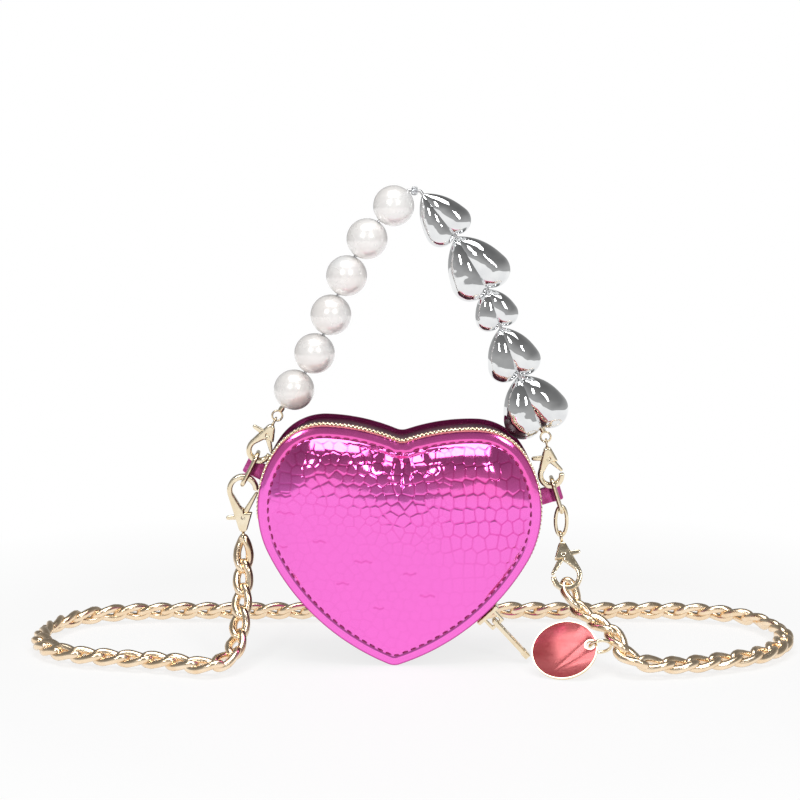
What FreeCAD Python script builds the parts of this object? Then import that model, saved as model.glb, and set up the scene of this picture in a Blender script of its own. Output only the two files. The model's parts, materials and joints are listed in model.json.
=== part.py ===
import FreeCAD, Part
import math
import os

Vec = FreeCAD.Vector

# Lengths are in millimetres. The origin is the middle of the spacer bead on top of the handle.
# X runs to the right, Y away from the viewer and Z up. The bag hangs below its handle.

# Heart outline, in the bag's own frame: axis at x 0, lobe tops at z 0, mid depth at y 0
lobe_top_x = 29.8
inner_radius = 78.0
notch_radius = 6.0
lobe_radius = 22.3
side_radius = 40.0
flank_radius = 91.0
tip_radius = 6.0
tip_least_share = 0.35
lobe_end_deg = 34.0
side_end_deg = -28.0

# Where the bag hangs, and how far it leans in its plane
bag_x = -4.7
bag_y = -3.0
bag_z = -90.8
bag_lean_deg = 2.0

# Panels: a flat sewn border round a puffed middle
bag_depth = 32.0
panel_wall = 1.5
border_width = 4.6
crown_rise = 6.5
crown_run = 15.0
crown_shares = ((0.0, 0.0), (0.16, 0.44), (0.48, 0.82), (1.0, 1.0))

# Gusset and lining
gusset_inset = 1.5
gusset_wall = 1.5
lining_wall = 0.5

# Zip
zip_from_front = 5.0
tooth_pitch = 1.65
tooth_length = 1.0
tooth_width = 1.6
tooth_height = 1.8
tooth_inset = 0.2
teeth_gap = 0.8
tape_wall = 0.6
tape_back_width = 2.0
lining_setback = 1.5
zip_left_deg = -8.0
zip_right_deg = -50.0
stop_length = 2.4
tooth_row_shares = (0.25, 0.75)

# Slider and puller
slider_deg = -44.5
slider_length = 10.0
slider_width = 7.2
slider_plate = 1.5
slider_web = 0.5
slider_web_length = 6.0
slider_clear = 0.25
bail_length = 6.2
bail_width = 1.5
bail_height = 5.4
bail_wire = 1.2
bail_root = 0.4
puller_length = 20.2
puller_width = 5.0
puller_wall = 1.7
puller_fork = 6.0
puller_fork_gap = 2.2
puller_bar_d = 1.3
puller_deg = -45.5
puller_end_block = 3.0
puller_end_wall = 2.2

# Rings in the side tabs
ring_wire = 1.8
ring_span = 13.5
ring_depth = 10.0
ring_corner = 2.6
ring_back = 5.0
ring_left_deg = 243.0
ring_right_deg = -72.8
tab_wall = 1.4
tab_width = 6.4
tab_clear = 0.1

# Bead handle
cable_d = 1.2
bore_clear = 0.3
pearl_d = 16.0
pearl_gap = 0.6
pearl_degs = (226.0, 236.0, 246.0, 250.0, 244.0, 237.0)
spacer_d = 3.6
spacer_length = 2.4
spacer_gap = 1.1
spacer_deg = -3.0
heart_gap = 1.7
heart_widths = (19.4, 24.6, 17.2, 21.2, 26.4)
heart_lengths = (22.4, 26.2, 16.8, 22.0, 25.2)
heart_degs = (-51.5, -58.0, -71.0, -69.0, -66.5)
heart_lobe_share = 0.262
heart_spread_share = 0.238
heart_tip_radius = 1.25
crimp_d = 2.2
crimp_length = 1.6
crimp_setback = 1.2
loop_wire = 0.8
loop_radius = 2.0

# Lobster clasps
handle_clasp_length = 18.2
chain_left_length = 25.6
chain_right_length = 22.2
handle_left_deg = 243.0
handle_right_deg = -81.7
chain_left_deg = 90.0
chain_right_deg = -82.5
chain_right_lean_deg = 25.0
hook_play = 2.4
chain_hook_play = 3.4
hook_wall = 1.8
hook_rest = 0.9
clasp_wall = 3.4
eye_radius = 1.35
chain_eye_radius = 1.9
eye_wire = 0.9
chain_eye_wire = 1.2
neck_radius = 1.7
neck_gap = 0.15
post_d = 1.2
post_clear = 0.05
post_depth = 1.2
pin_share = 0.34
cavity_share = 0.5
cavity_radius = 0.9
slot_width = 2.2
slot_rise = 2.4
lever_wall = 1.2
lever_radius = 1.25
gate_radius = 0.6
gate_clear = 0.2
gate_rise = 0.95
tail_reach = 6.0
tail_rise = 0.6
tail_radius = 0.75
pin_d = 1.1
pin_clear = 0.05
spring_wire = 0.34

# Oval link between the right ring and the right chain clasp
oval_wire = 1.5
oval_width = 6.0
oval_length = 13.4
link_play = 0.15

# Shoulder chain, from the left clasp over the ground and back to the right clasp
link_wire = 2.0
link_length = 14.4
link_width = 9.0
link_pitch = 9.85
link_rest = 1.2
chain_route = (
    (-67.6, -4.0, -154.0), (-68.6, -20.5, -173.5), (-71.5, -33.5, -178.6), (-81.0, -38.5, -180.1),
    (-97.0, -29.0, -180.1), (-120.0, -25.0, -180.1), (-141.0, -17.0, -180.1), (-151.5, 3.0, -180.1),
    (-149.0, 28.0, -180.1), (-133.0, 48.0, -180.1), (-100.0, 53.0, -180.1), (-55.0, 52.0, -180.1),
    (5.0, 55.0, -180.1), (65.0, 52.0, -180.1), (110.0, 53.5, -180.1), (136.0, 46.0, -180.1),
    (149.0, 26.0, -180.1), (150.0, 2.0, -180.1), (138.0, -20.0, -180.1), (117.0, -31.0, -180.1),
    (100.0, -37.5, -180.1), (82.0, -39.0, -178.0), (74.0, -28.0, -169.0), (63.4, -13.5, -164.5),
)

# Disc charm on the chain
disc_d = 25.5
disc_wall = 1.3
disc_x = 58.0
disc_y = -33.0
disc_z = -175.1
disc_lean_deg = 45.0
disc_turn_deg = -18.0
disc_hole_d = 3.6
disc_hole_edge = 2.6
disc_hole_deg = 72.0
charm_wire = 1.3
charm_grip = 2.2

overrun = 1.0


def polar(centre, radius, deg):
    angle = math.radians(deg)
    return (centre[0] + radius * math.cos(angle), centre[1] + radius * math.sin(angle))


def at(point, y=0.0):
    return Vec(point[0], y, point[1])


def heading(deg):
    angle = math.radians(deg)
    return Vec(math.cos(angle), 0.0, math.sin(angle))


# Heart outline
def flank_centre():
    lobe = (lobe_top_x, -lobe_radius)
    side = polar(lobe, lobe_radius - side_radius, lobe_end_deg)
    return polar(side, side_radius - flank_radius, side_end_deg)


# Arcs of the right half from notch to tip, each as centre, radius, start angle and end angle
def half_arcs(inset):
    lobe = (lobe_top_x, -lobe_radius)
    inner = (lobe_top_x, -inner_radius)
    side = polar(lobe, lobe_radius - side_radius, lobe_end_deg)
    flank = flank_centre()
    notch_z = inner[1] + math.sqrt((inner_radius + notch_radius) ** 2 - inner[0] ** 2)
    notch_deg = math.degrees(math.atan2(notch_z - inner[1], -inner[0]))
    tip = max(tip_radius - inset, tip_radius * tip_least_share)
    tip_z = flank[1] - math.sqrt((flank_radius - inset - tip) ** 2 - flank[0] ** 2)
    tip_deg = math.degrees(math.atan2(tip_z - flank[1], -flank[0]))
    return [
        ((0.0, notch_z), notch_radius + inset, -90.0, notch_deg - 180.0),
        (inner, inner_radius - inset, notch_deg, 90.0),
        (lobe, lobe_radius - inset, 90.0, lobe_end_deg),
        (side, side_radius - inset, lobe_end_deg, side_end_deg),
        (flank, flank_radius - inset, side_end_deg, tip_deg),
        ((0.0, tip_z), tip, tip_deg, -90.0),
    ]


def mirrored(arc):
    centre, radius, start, end = arc
    return ((-centre[0], centre[1]), radius, 180.0 - end, 180.0 - start)


def arc_edge(arc, y):
    centre, radius, start, end = arc
    points = [at(polar(centre, radius, deg), y) for deg in (start, (start + end) / 2, end)]
    return Part.Arc(*points).toShape()


def heart_wire(inset, y):
    right = half_arcs(inset)
    left = [mirrored(arc) for arc in reversed(right)]
    return Part.Wire([arc_edge(arc, y) for arc in right + left])


def heart_plate(inset, y_from, y_to):
    return Part.Face(heart_wire(inset, y_from)).extrude(Vec(0, y_to - y_from, 0))


def heart_band(inset, wall, y_from, y_to):
    return heart_plate(inset, y_from, y_to).cut(heart_plate(inset + wall, y_from, y_to))


def on_bag(shape):
    placed = shape.copy()
    spot = FreeCAD.Placement(Vec(bag_x, bag_y, bag_z), FreeCAD.Rotation(Vec(0, 1, 0), bag_lean_deg))
    placed.Placement = spot.multiply(placed.Placement)
    return placed


# Puffed panels with their pads
half_depth = bag_depth / 2


def crown(inset, y_base):
    wires = []
    for run_share, rise_share in crown_shares:
        wires.append(heart_wire(inset + crown_run * run_share, y_base - crown_rise * rise_share))
    return Part.makeLoft(wires, True, True)


def front_panel():
    border = heart_plate(0.0, -half_depth - panel_wall, -half_depth)
    puff = crown(border_width, -half_depth - panel_wall)
    return border.fuse(puff).cut(front_foam()).removeSplitter()


def front_foam():
    return crown(border_width + panel_wall, -half_depth)


def to_back(shape):
    return shape.mirror(Vec(0, 0, 0), Vec(0, 1, 0))


# Zip, gusset and lining
zip_y = zip_from_front - half_depth
teeth_front_y = zip_y - teeth_gap / 2 - tooth_width
teeth_back_y = zip_y + teeth_gap / 2
window_y = teeth_back_y + tooth_width + tape_back_width


def zip_arcs(inset):
    notch, inner, lobe, side, flank = half_arcs(inset)[:5]
    left_side = (side[0], side[1], side[2], zip_left_deg)
    right_flank = (flank[0], flank[1], flank[2], zip_right_deg)
    left = [mirrored(arc) for arc in (left_side, lobe, inner, notch)]
    return left + [notch, inner, lobe, side, right_flank]


# Everything above the line between the two ends of the zip
def zip_zone(y_from, y_to):
    arcs = zip_arcs(0.0)
    start = at(polar(arcs[0][0], arcs[0][1], arcs[0][2]), y_from)
    end = at(polar(arcs[-1][0], arcs[-1][1], arcs[-1][3]), y_from)
    along = (end - start).normalize() * flank_radius
    up = Vec(-along.z, 0, along.x)
    corners = [start - along, end + along, end + along + up * 2, start - along + up * 2]
    return Part.Face(Part.makePolygon(corners + corners[:1])).extrude(Vec(0, y_to - y_from, 0))


def gusset_strip():
    window = zip_zone(-half_depth - overrun, window_y)
    return heart_band(gusset_inset, gusset_wall, -half_depth, half_depth).cut(window)


def lining_band():
    inset = gusset_inset + gusset_wall
    window = zip_zone(-half_depth - overrun, window_y + lining_setback)
    return heart_band(inset, lining_wall, -half_depth, half_depth).cut(window)


def lining_front():
    inset = gusset_inset + gusset_wall + lining_wall
    return heart_plate(inset, -half_depth, -half_depth + lining_wall)


def zip_tape(y_from, y_to):
    band = heart_band(tooth_inset - tape_wall / 2, tape_wall, y_from, y_to)
    return band.common(zip_zone(y_from - overrun, y_to + overrun))


def tooth_block(length, x, z, deg, y_from):
    block = Part.makeBox(length, tooth_width, tooth_height)
    block.translate(Vec(-length / 2, y_from, -tooth_height / 2))
    block.rotate(Vec(0, 0, 0), Vec(0, -1, 0), deg)
    block.translate(Vec(x, 0, z))
    return block


# Places along the zip, each with its tangent angle, at a given distance from the left end
def zip_place(distance):
    arcs = zip_arcs(tooth_inset)
    for centre, radius, start, end in arcs:
        turn = math.radians(end - start)
        length = abs(turn) * radius
        if distance <= length:
            break
        distance -= length
    deg = start + math.degrees(distance / radius) * math.copysign(1.0, turn)
    x, z = polar(centre, radius, deg)
    return x, z, deg + math.copysign(90.0, turn)


def zip_length():
    return sum(math.radians(abs(end - start)) * radius for _, radius, start, end in zip_arcs(tooth_inset))


def zip_teeth(y_from, start_share):
    count = int((zip_length() - 2 * stop_length) / tooth_pitch)
    teeth = []
    for index in range(count):
        x, z, deg = zip_place(stop_length + (index + start_share) * tooth_pitch)
        teeth.append(tooth_block(tooth_length, x, z, deg, y_from))
    return Part.makeCompound(teeth)


def zip_stops():
    stops = []
    for distance in (stop_length / 2, zip_length() - stop_length / 2):
        x, z, deg = zip_place(distance)
        block = Part.makeBox(stop_length - tooth_length / 2, tooth_width * 2 + teeth_gap, tooth_height)
        block.translate(Vec(-stop_length / 2, teeth_front_y, -tooth_height / 2))
        block.rotate(Vec(0, 0, 0), Vec(0, -1, 0), deg)
        block.translate(Vec(x, 0, z))
        stops.append(block)
    return Part.makeCompound(stops)


# Slider plates follow the flank's arc, so the slider runs on them
slider_top = flank_radius - tooth_inset + tooth_height / 2 + slider_clear
slider_low = flank_radius - tooth_inset - tooth_height / 2 - slider_clear


def flank_block(radius_in, radius_out, length, width):
    centre = flank_centre()
    half = math.degrees(length / 2 / flank_radius)
    outer = (centre, radius_out, slider_deg - half, slider_deg + half)
    inner = (centre, radius_in, slider_deg + half, slider_deg - half)
    ends = [at(polar(centre, radius, deg)) for radius, deg in (
        (radius_out, slider_deg + half), (radius_in, slider_deg + half),
        (radius_in, slider_deg - half), (radius_out, slider_deg - half))]
    edges = [arc_edge(outer, 0.0), Part.LineSegment(ends[0], ends[1]).toShape(),
             arc_edge(inner, 0.0), Part.LineSegment(ends[2], ends[3]).toShape()]
    block = Part.Face(Part.Wire(edges)).extrude(Vec(0, width, 0))
    block.translate(Vec(0, zip_y - width / 2, 0))
    return block


def slider_bail():
    frame = Part.makeBox(bail_length, bail_width, bail_height + bail_root)
    frame.translate(Vec(-bail_length / 2, -bail_width / 2, -bail_root))
    foot = bail_root + overrun
    window = Part.makeBox(bail_length - 2 * bail_wire, bail_width + 2 * overrun,
                          bail_height - bail_wire + foot)
    window.translate(Vec(bail_wire - bail_length / 2, -bail_width / 2 - overrun, -foot))
    return outward(frame.cut(window), slider_top + slider_plate)


# Turns a shape that points up Z to point out of the flank at the slider
def outward(shape, radius):
    shape.rotate(Vec(0, 0, 0), Vec(0, -1, 0), slider_deg - 90.0)
    shape.translate(at(polar(flank_centre(), radius, slider_deg), zip_y))
    return shape


def zip_slider():
    top = flank_block(slider_top, slider_top + slider_plate, slider_length, slider_width)
    low = flank_block(slider_low - slider_plate, slider_low, slider_length, slider_width)
    web = flank_block(slider_low, slider_top, slider_web_length, slider_web)
    return top.fuse([low, web, slider_bail()]).removeSplitter()


puller_pivot_radius = slider_top + slider_plate + bail_height - bail_wire - puller_bar_d / 2 - slider_clear


def puller_pivot():
    return at(polar(flank_centre(), puller_pivot_radius, slider_deg), zip_y)


def zip_puller():
    bar = Part.makeBox(puller_wall, puller_width, puller_length)
    bar.translate(Vec(-puller_wall / 2, -puller_width / 2, -puller_wall / 2))
    gap = Part.makeBox(puller_wall + 2 * overrun, puller_fork_gap, puller_fork + overrun)
    gap.translate(Vec(-puller_wall / 2 - overrun, -puller_fork_gap / 2, -puller_wall / 2 - overrun))
    cross = Part.makeCylinder(puller_bar_d / 2, puller_width, Vec(0, -puller_width / 2, 0), Vec(0, 1, 0))
    end = Part.makeBox(puller_end_wall, puller_width, puller_end_block)
    end.translate(Vec(-puller_end_wall / 2, -puller_width / 2,
                      puller_length - puller_end_block - puller_wall / 2))
    puller = bar.cut(gap).fuse([cross, end]).removeSplitter()
    puller.rotate(Vec(0, 0, 0), Vec(0, -1, 0), puller_deg - 90.0)
    puller.translate(puller_pivot())
    return puller


# A closed loop of round wire with rounded corners, in the XY plane round the origin
def wire_loop(half_x, half_y, corner, wire_d):
    straight_x = half_x - corner
    straight_y = half_y - corner
    corners = ((straight_x, straight_y, 0.0), (-straight_x, straight_y, 90.0),
               (-straight_x, -straight_y, 180.0), (straight_x, -straight_y, 270.0))
    edges = []
    for index, (x, y, start) in enumerate(corners):
        middle = Vec(x, y, 0)
        points = []
        for step_share in (0.0, 0.5, 1.0):
            angle = math.radians(start + 90.0 * step_share)
            points.append(middle + Vec(math.cos(angle), math.sin(angle), 0) * corner)
        edges.append(Part.Arc(*points).toShape())
        after = corners[(index + 1) % len(corners)]
        angle = math.radians(after[2])
        begin = Vec(after[0], after[1], 0) + Vec(math.cos(angle), math.sin(angle), 0) * corner
        if begin.distanceToPoint(points[-1]) > corner * 1e-6:
            edges.append(Part.LineSegment(points[-1], begin).toShape())
    start = edges[0].valueAt(edges[0].FirstParameter)
    section = Part.Wire(Part.Circle(start, Vec(0, 1, 0), wire_d / 2).toShape())
    return Part.Wire(edges).makePipeShell([section], True, False)


# Puts a shape with its own X and Z axes along two given directions
def framed(shape, origin, x_axis, z_axis):
    y_axis = z_axis.cross(x_axis)
    matrix = FreeCAD.Matrix(
        x_axis.x, y_axis.x, z_axis.x, origin.x,
        x_axis.y, y_axis.y, z_axis.y, origin.y,
        x_axis.z, y_axis.z, z_axis.z, origin.z, 0, 0, 0, 1)
    placed = shape.copy()
    placed.Placement = FreeCAD.Placement(matrix).multiply(shape.Placement)
    return placed


# Bead handle: straight runs of cable, each through one bead
bore_d = cable_d + 2 * bore_clear
pearl_run = pearl_d + pearl_gap
spacer_run = spacer_length + 2 * spacer_gap
spacer_half = heading(spacer_deg) * (spacer_run / 2)


def heart_bore(index):
    lobe = heart_widths[index] * heart_lobe_share
    spread = heart_widths[index] * heart_spread_share
    return heart_lengths[index] - lobe + math.sqrt(lobe ** 2 - spread ** 2)


def run_ends(start, degs, lengths):
    ends = [start]
    for deg, length in zip(degs, lengths):
        ends.append(ends[-1] + heading(deg) * length)
    return ends


left_ends = run_ends(spacer_half * -1, pearl_degs, [pearl_run] * len(pearl_degs))
heart_runs = [heart_bore(index) + heart_gap for index in range(len(heart_widths))]
right_ends = run_ends(spacer_half, heart_degs, heart_runs)
crimp_left = left_ends[-1] + heading(pearl_degs[-1]) * crimp_length
crimp_right = right_ends[-1] + heading(heart_degs[-1]) * (crimp_setback + crimp_length)
loop_reach = loop_radius + loop_wire / 2
loop_left = crimp_left + heading(pearl_degs[-1]) * loop_reach
loop_right = crimp_right + heading(heart_degs[-1]) * loop_reach


def rod(start, end, d):
    return Part.makeCylinder(d / 2, start.distanceToPoint(end), start, end - start)


def handle_cable():
    route = [crimp_left] + left_ends[::-1] + right_ends + [crimp_right]
    runs = [rod(start, end, cable_d) for start, end in zip(route, route[1:])]
    bends = [Part.makeSphere(cable_d / 2, point) for point in route[1:-1]]
    return runs[0].fuse(runs[1:] + bends).removeSplitter()


def bored(shape, start, end):
    reach = (end - start).normalize() * overrun * loop_reach
    return shape.cut(rod(start - reach, end + reach, bore_d))


def pearl_bead(index):
    start, end = left_ends[index], left_ends[index + 1]
    return bored(Part.makeSphere(pearl_d / 2, (start + end) / 2), start, end)


def spacer_bead():
    along = heading(spacer_deg)
    slab = Part.makeCylinder(spacer_d, spacer_length, along * (-spacer_length / 2), along)
    return bored(Part.makeSphere(spacer_d / 2).common(slab), right_ends[0], left_ends[0])


# A round bulb drawn out to a small round tip, turned about the Z axis
def teardrop(tip_r, bulb_r, distance):
    profile = tear_face(tip_r, 0.0, bulb_r, distance)
    half = Part.makeBox(distance * 2, bulb_r, distance * 4, Vec(0, -bulb_r / 2, -distance))
    face = profile.common(half)
    return face.revolve(Vec(0, 0, 0), Vec(0, 0, 1), 360.0)


# Outline round two circles on the Z axis, joined by their tangents
def tear_face(first_r, first_z, last_r, last_z):
    lean = math.asin((last_r - first_r) / (last_z - first_z))
    out, back = math.cos(lean), math.sin(lean)
    first = Vec(first_r * out, 0, first_z - first_r * back)
    last = Vec(last_r * out, 0, last_z - last_r * back)
    first_far = Vec(-first.x, 0, first.z)
    last_far = Vec(-last.x, 0, last.z)
    edges = [Part.LineSegment(first, last).toShape(),
             Part.Arc(last, Vec(0, 0, last_z + last_r), last_far).toShape(),
             Part.LineSegment(last_far, first_far).toShape(),
             Part.Arc(first_far, Vec(0, 0, first_z - first_r), first).toShape()]
    return Part.Face(Part.Wire(edges))


def heart_bead(index):
    width = heart_widths[index]
    length = heart_lengths[index]
    lobe = width * heart_lobe_share
    spread = width * heart_spread_share
    rise = length - lobe - heart_tip_radius
    reach = math.hypot(spread, rise)
    drop = teardrop(heart_tip_radius, lobe, reach)
    drop.rotate(Vec(0, 0, 0), Vec(0, 1, 0), math.degrees(math.atan2(spread, rise)))
    drop.translate(Vec(0, 0, heart_tip_radius))
    keep = Part.makeBox(width, width, length * 2, Vec(0, -width / 2, -length / 2))
    half = drop.common(keep)
    bead = half.fuse(half.mirror(Vec(0, 0, 0), Vec(1, 0, 0))).removeSplitter()
    along = heading(heart_degs[index])
    start = right_ends[index] + along * (heart_gap / 2)
    bead = framed(bead, start, Vec(-along.z, 0, along.x), along)
    return bored(bead, right_ends[index], right_ends[index + 1])


def cable_crimps():
    crimps = []
    for end, deg in ((crimp_left, pearl_degs[-1]), (crimp_right, heart_degs[-1])):
        start = end - heading(deg) * crimp_length
        crimps.append(rod(start, end, crimp_d).cut(rod(start, end, cable_d)))
    return Part.makeCompound(crimps)


def handle_ring(middle):
    return Part.makeTorus(loop_radius, loop_wire / 2, middle, Vec(0, 1, 0))


# Lobster clasps, in a frame with the eye at the origin, Z towards the hook and X to the gate
handle_hook = ring_wire / 2 + hook_play
chain_hook = ring_wire / 2 + chain_hook_play


def clasp_slab(face, wall):
    slab = face.extrude(Vec(0, wall, 0))
    slab.translate(Vec(0, -wall / 2, 0))
    return slab


# A flat arm from one round end to another, in the clasp's plane
def arm(start, start_r, end, end_r, wall):
    reach = end - start
    bar = clasp_slab(tear_face(start_r, 0.0, end_r, reach.Length), wall)
    bar.rotate(Vec(0, 0, 0), Vec(0, 1, 0), math.degrees(math.atan2(reach.x, reach.z)))
    bar.translate(start)
    return bar


def clasp_pieces(length, hook_inner, eye_r, eye_wire_d):
    neck_z = eye_r + eye_wire_d / 2 + neck_gap + neck_radius
    hook_outer = hook_inner + hook_wall
    hook_z = length - hook_outer
    pin_z = length * pin_share
    gate_z = pin_z + lever_radius + gate_clear
    outer = clasp_slab(tear_face(neck_radius, neck_z, hook_outer, hook_z), clasp_wall)
    cavity_z = length * cavity_share
    cavity = clasp_slab(tear_face(cavity_radius, cavity_z, hook_inner, hook_z), clasp_wall + 2 * overrun)
    gate_room = Part.makeBox(hook_outer + overrun, clasp_wall + 2 * overrun, hook_z - gate_z)
    gate_room.translate(Vec(gate_clear, -clasp_wall / 2 - overrun, gate_z))
    slot = Part.makeBox(4 * hook_outer, slot_width, cavity_z + slot_rise - pin_z)
    slot.translate(Vec(-2 * hook_outer, -slot_width / 2, pin_z - slot_rise))
    half_wall = Vec(0, clasp_wall / 2, 0)
    pin_at = Vec(0, 0, pin_z)
    pin = rod(pin_at - half_wall, pin_at + half_wall, pin_d)
    post_top = neck_z - neck_radius + post_depth
    post_hole = rod(Vec(0, 0, neck_z - neck_radius - overrun), Vec(0, 0, post_top + post_clear),
                    post_d + 2 * post_clear)
    body = outer.cut([cavity, gate_room, slot, pin, post_hole])
    gate_end = Vec(hook_outer - gate_radius - gate_clear, 0, hook_z - gate_radius - gate_rise)
    tail_end = Vec(-tail_reach, 0, pin_z - tail_rise)
    gate = arm(pin_at, lever_radius, gate_end, gate_radius, lever_wall)
    tail = arm(pin_at, lever_radius, tail_end, tail_radius, lever_wall)
    lever = gate.fuse(tail).removeSplitter()
    lever = lever.cut(rod(pin_at - half_wall, pin_at + half_wall, pin_d + 2 * pin_clear))
    side = Vec(0, (slot_width + lever_wall) / 4, 0)
    spring = Part.makeTorus(pin_d / 2 + pin_clear + spring_wire, spring_wire / 2, pin_at + side, Vec(0, 1, 0))
    eye = Part.makeTorus(eye_r, eye_wire_d / 2, Vec(0, 0, 0), Vec(1, 0, 0))
    post = rod(Vec(0, 0, eye_r), Vec(0, 0, post_top), post_d)
    return {"body": body, "lever": lever, "pin": pin, "spring": spring, "swivel": eye.fuse(post)}


def placed_clasp(name, length, hook_inner, eye_r, eye_wire_d, eye, along, gate_side):
    pieces = {}
    for kind, shape in clasp_pieces(length, hook_inner, eye_r, eye_wire_d).items():
        node = name if kind == "body" else name + "_" + kind
        pieces[node] = framed(shape, eye, gate_side, along)
    return pieces


# From a clasp's eye to the middle of the wire that rests in its hook
def hook_reach(length, wire_d, rest):
    return length - hook_wall - wire_d / 2 - rest


def right_of(along):
    return Vec(-along.z, 0, along.x)


# The eyes of the handle clasps hang in the end loops, and their hooks hold the side rings
eye_drop = loop_radius + eye_radius - eye_wire / 2 - loop_wire / 2 - link_play
handle_left_along = heading(handle_left_deg)
handle_right_along = heading(handle_right_deg)
handle_left_eye = loop_left + handle_left_along * eye_drop
handle_right_eye = loop_right + handle_right_along * eye_drop
handle_reach = hook_reach(handle_clasp_length, ring_wire, hook_rest)
ring_left_top = handle_left_eye + handle_left_along * handle_reach
ring_right_top = handle_right_eye + handle_right_along * handle_reach
ring_left_low = ring_left_top + heading(ring_left_deg) * ring_span
ring_right_low = ring_right_top + heading(ring_right_deg) * ring_span


def side_ring(top, low):
    along = (low - top).normalize()
    loop = wire_loop(ring_span / 2, ring_depth / 2, ring_corner, ring_wire)
    middle = (top + low) / 2 + Vec(0, ring_back - ring_depth / 2, 0)
    return framed(loop, middle, along, along.cross(Vec(0, 1, 0)))


# A strip sewn to the gusset, folded round the back bar of its ring
def side_tab(top, low):
    along = (low - top).normalize()
    bar = (top + low) / 2 + Vec(0, ring_back, 0)
    half = along * (tab_width / 2)
    fold = rod(bar - half, bar + half, ring_wire + 2 * tab_clear + 2 * tab_wall)
    hole = rod(bar - half * 2, bar + half * 2, ring_wire + 2 * tab_clear)
    strip = Part.makeBox(tab_width, 2 * tab_wall, side_radius)
    strip.translate(Vec(-tab_width / 2, -tab_wall, 0))
    inward = Vec(bag_x - bar.x, 0, 0).normalize()
    level = (inward - along * inward.dot(along)).normalize()
    strip = framed(strip, bar, along, level)
    inside = on_bag(heart_plate(gusset_inset, -half_depth, half_depth))
    return fold.fuse(strip).cut([hole, inside]).removeSplitter()


# Chain clasps: the left one hooks up into its ring, the right one hangs from the oval link
chain_left_along = heading(chain_left_deg)
chain_left_eye = ring_left_low - chain_left_along * hook_reach(chain_left_length, ring_wire, hook_rest)
oval_top = ring_right_low + Vec(0, 0, ring_wire / 2 + oval_wire / 2 + link_play)
oval_middle = oval_top - Vec(0, 0, oval_length / 2 - oval_wire / 2)
oval_low = oval_middle * 2 - oval_top
chain_eye_drop = chain_eye_radius - chain_eye_wire / 2 - oval_wire / 2 - link_play
chain_right_gate = right_of(heading(chain_right_deg)) * -1
chain_right_along = FreeCAD.Rotation(chain_right_gate, chain_right_lean_deg).multVec(heading(chain_right_deg))
chain_right_eye = oval_low - Vec(0, 0, chain_eye_drop)
chain_end = chain_right_eye + chain_right_along * hook_reach(chain_right_length, link_wire, link_rest)
chain_seat = chain_eye_radius - chain_eye_wire / 2 - link_wire / 2 - link_play
link_tail = (link_length - link_wire - link_pitch) / 2


# Name, length, inside of the hook, eye radius, eye wire, eye, direction to the hook and side of the gate
clasps = (
    ("handle_clasp_left", handle_clasp_length, handle_hook, eye_radius, eye_wire,
     handle_left_eye, handle_left_along, right_of(handle_left_along)),
    ("handle_clasp_right", handle_clasp_length, handle_hook, eye_radius, eye_wire,
     handle_right_eye, handle_right_along, right_of(handle_right_along)),
    ("chain_clasp_left", chain_left_length, chain_hook, chain_eye_radius, chain_eye_wire,
     chain_left_eye, chain_left_along, right_of(chain_left_along) * -1),
    ("chain_clasp_right", chain_right_length, chain_hook, chain_eye_radius, chain_eye_wire,
     chain_right_eye, chain_right_along, chain_right_gate),
)


def connector_ring():
    half_width = oval_width / 2 - oval_wire / 2
    loop = wire_loop(oval_length / 2 - oval_wire / 2, half_width, half_width, oval_wire)
    return framed(loop, oval_middle, Vec(0, 0, 1), Vec(0, 1, 0))


# Straight runs joined by tangent arcs, each as large as its two runs allow
def rounded_route(points):
    arc_share = 0.45
    edges = []
    radii = []
    start = points[0]
    for before, corner, after in zip(points, points[1:], points[2:]):
        into = (corner - before).normalize()
        out = (after - corner).normalize()
        cut = arc_share * min(before.distanceToPoint(corner), after.distanceToPoint(corner))
        half_turn = math.acos(max(-1.0, min(1.0, into.dot(out)))) / 2
        radius = cut / math.tan(half_turn)
        radii.append(radius)
        bisector = (out - into).normalize()
        middle = corner + bisector * (radius / math.cos(half_turn) - radius)
        edges.append(Part.LineSegment(start, corner - into * cut).toShape())
        edges.append(Part.Arc(corner - into * cut, middle, corner + out * cut).toShape())
        start = corner + out * cut
    edges.append(Part.LineSegment(start, points[-1]).toShape())
    print("chain bend radii", [round(radius, 1) for radius in radii])
    return Part.Wire(edges)


# Middle, direction and plane normal of each link
def link_frames():
    route = [Vec(*point) for point in chain_route]
    seat = chain_left_eye - Vec(0, 0, chain_seat)
    first = seat + (route[0] - seat).normalize() * link_tail
    last = chain_end + (route[-1] - chain_end).normalize() * link_tail
    wire = rounded_route([first] + route + [last])
    count = int(wire.Length / link_pitch)
    stops = wire.discretize(Number=count + 1)
    print("chain length", round(wire.Length, 1), "links", count, "pitch", round(wire.Length / count, 3))
    frames = []
    normal = Vec(0, 1, 0)
    for index, (start, end) in enumerate(zip(stops, stops[1:])):
        along = (end - start).normalize()
        normal = (normal - along * normal.dot(along)).normalize()
        turned = FreeCAD.Rotation(along, 90.0 * (index % 2)).multVec(normal)
        frames.append(((start + end) / 2, along, turned))
    return twisted(frames)


# The twist that brings the last link square to its hook, shared out along the chain
def twisted(frames):
    _, along, normal = frames[-1]
    square = (chain_right_gate - along * chain_right_gate.dot(along)).normalize()
    twist = math.degrees(math.atan2(normal.cross(square).dot(along), normal.dot(square)))
    twist -= 180.0 * round(twist / 180.0)
    print("chain twist", round(twist, 1))
    step = twist / (len(frames) - 1)
    return [(middle, way, FreeCAD.Rotation(way, step * index).multVec(flat))
            for index, (middle, way, flat) in enumerate(frames)]


chain_frames = link_frames()


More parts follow.
